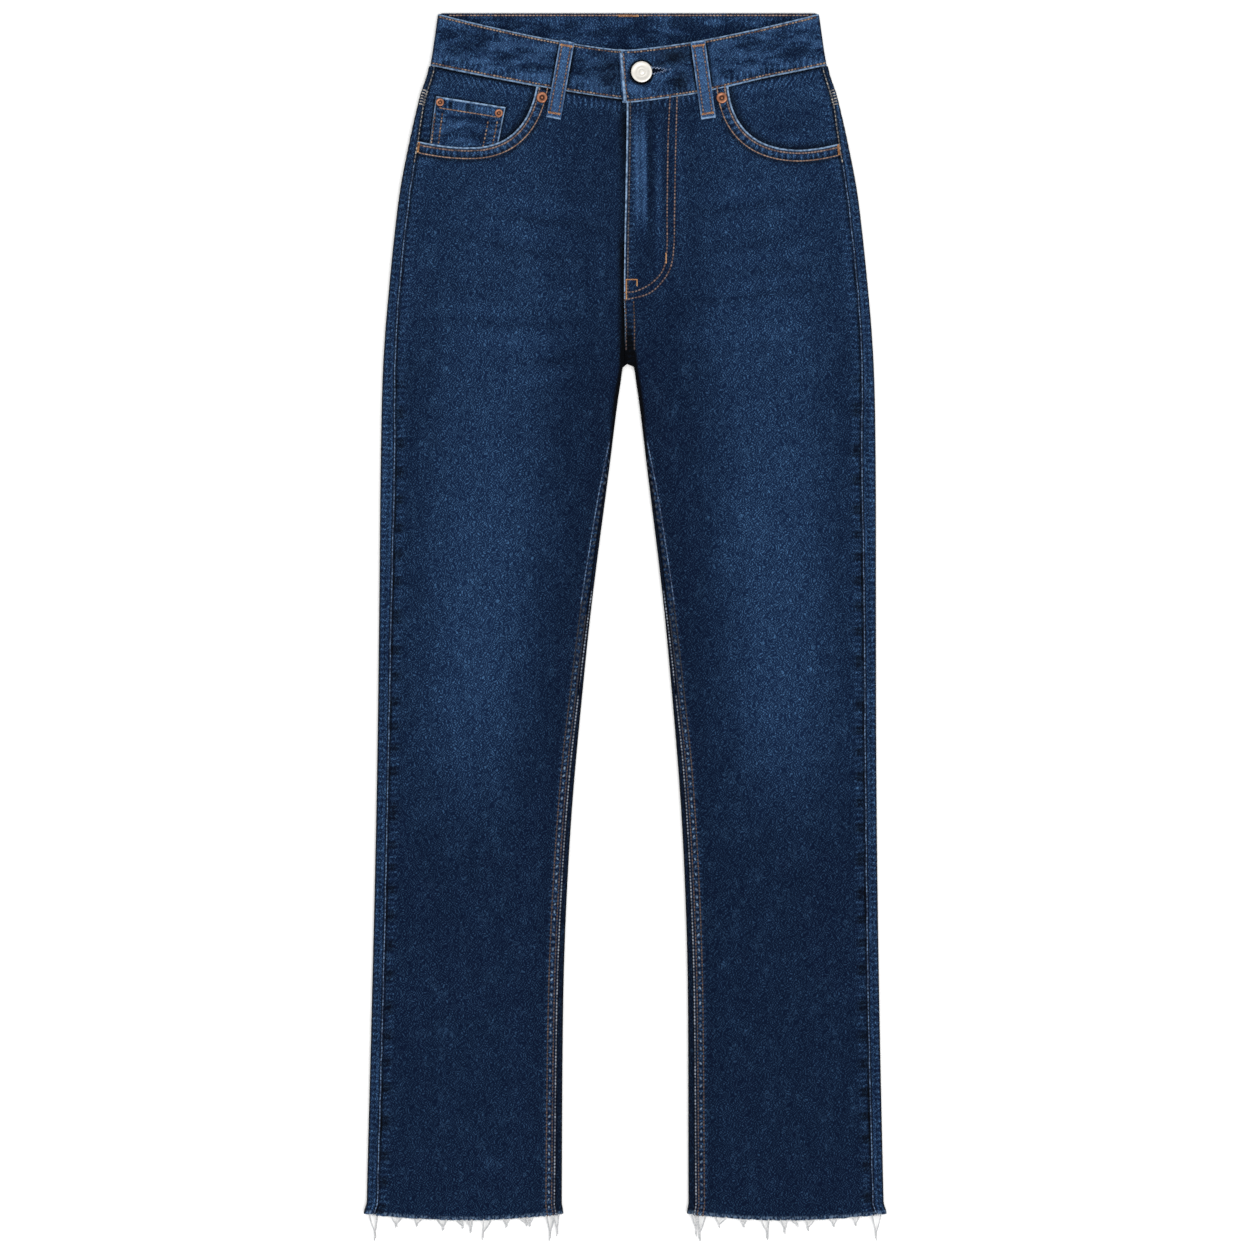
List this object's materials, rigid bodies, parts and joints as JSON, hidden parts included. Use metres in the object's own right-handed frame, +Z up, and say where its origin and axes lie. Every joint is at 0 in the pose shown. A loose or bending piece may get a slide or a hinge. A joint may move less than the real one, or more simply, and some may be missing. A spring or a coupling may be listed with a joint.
{
  "type": "straight-leg jeans laid flat",
  "caption": "High-waisted straight-leg dark indigo jeans with a raw frayed hem, buttoned and laid flat on their back.",
  "frame": {"origin": "under the centre of the garment's bounding box, on the surface that it lies on", "axes": "+Y runs along the garment from the hems to the waist, +Z is up out of its front, +X points towards the wearer's left leg"},
  "size_m": [0.4534, 1.0701, 0.0114],
  "materials": {
    "denim": "matt",
    "denim_worn": "matt",
    "fray_cotton": "matt",
    "copper": "satin",
    "nickel": "satin"
  },
  "bodies": {
    "root": {"back_left": "denim", "back_right": "denim", "front_left": "denim", "front_right": "denim", "yoke_left": "denim", "yoke_right": "denim", "pocket_facing_left": "denim", "pocket_facing_right": "denim", "waistband": "denim", "coin_pocket": "denim_worn", "belt_loop_left": "denim_worn", "belt_loop_right": "denim_worn", "front_fray_left": "fray_cotton", "front_fray_right": "fray_cotton", "back_fray_left": "fray_cotton", "back_fray_right": "fray_cotton", "pocket_rivet_left": "copper", "pocket_rivet_right": "copper", "coin_rivet_inner": "copper", "coin_rivet_outer": "copper", "waist_button": "nickel"}
  },
  "joints": []
}
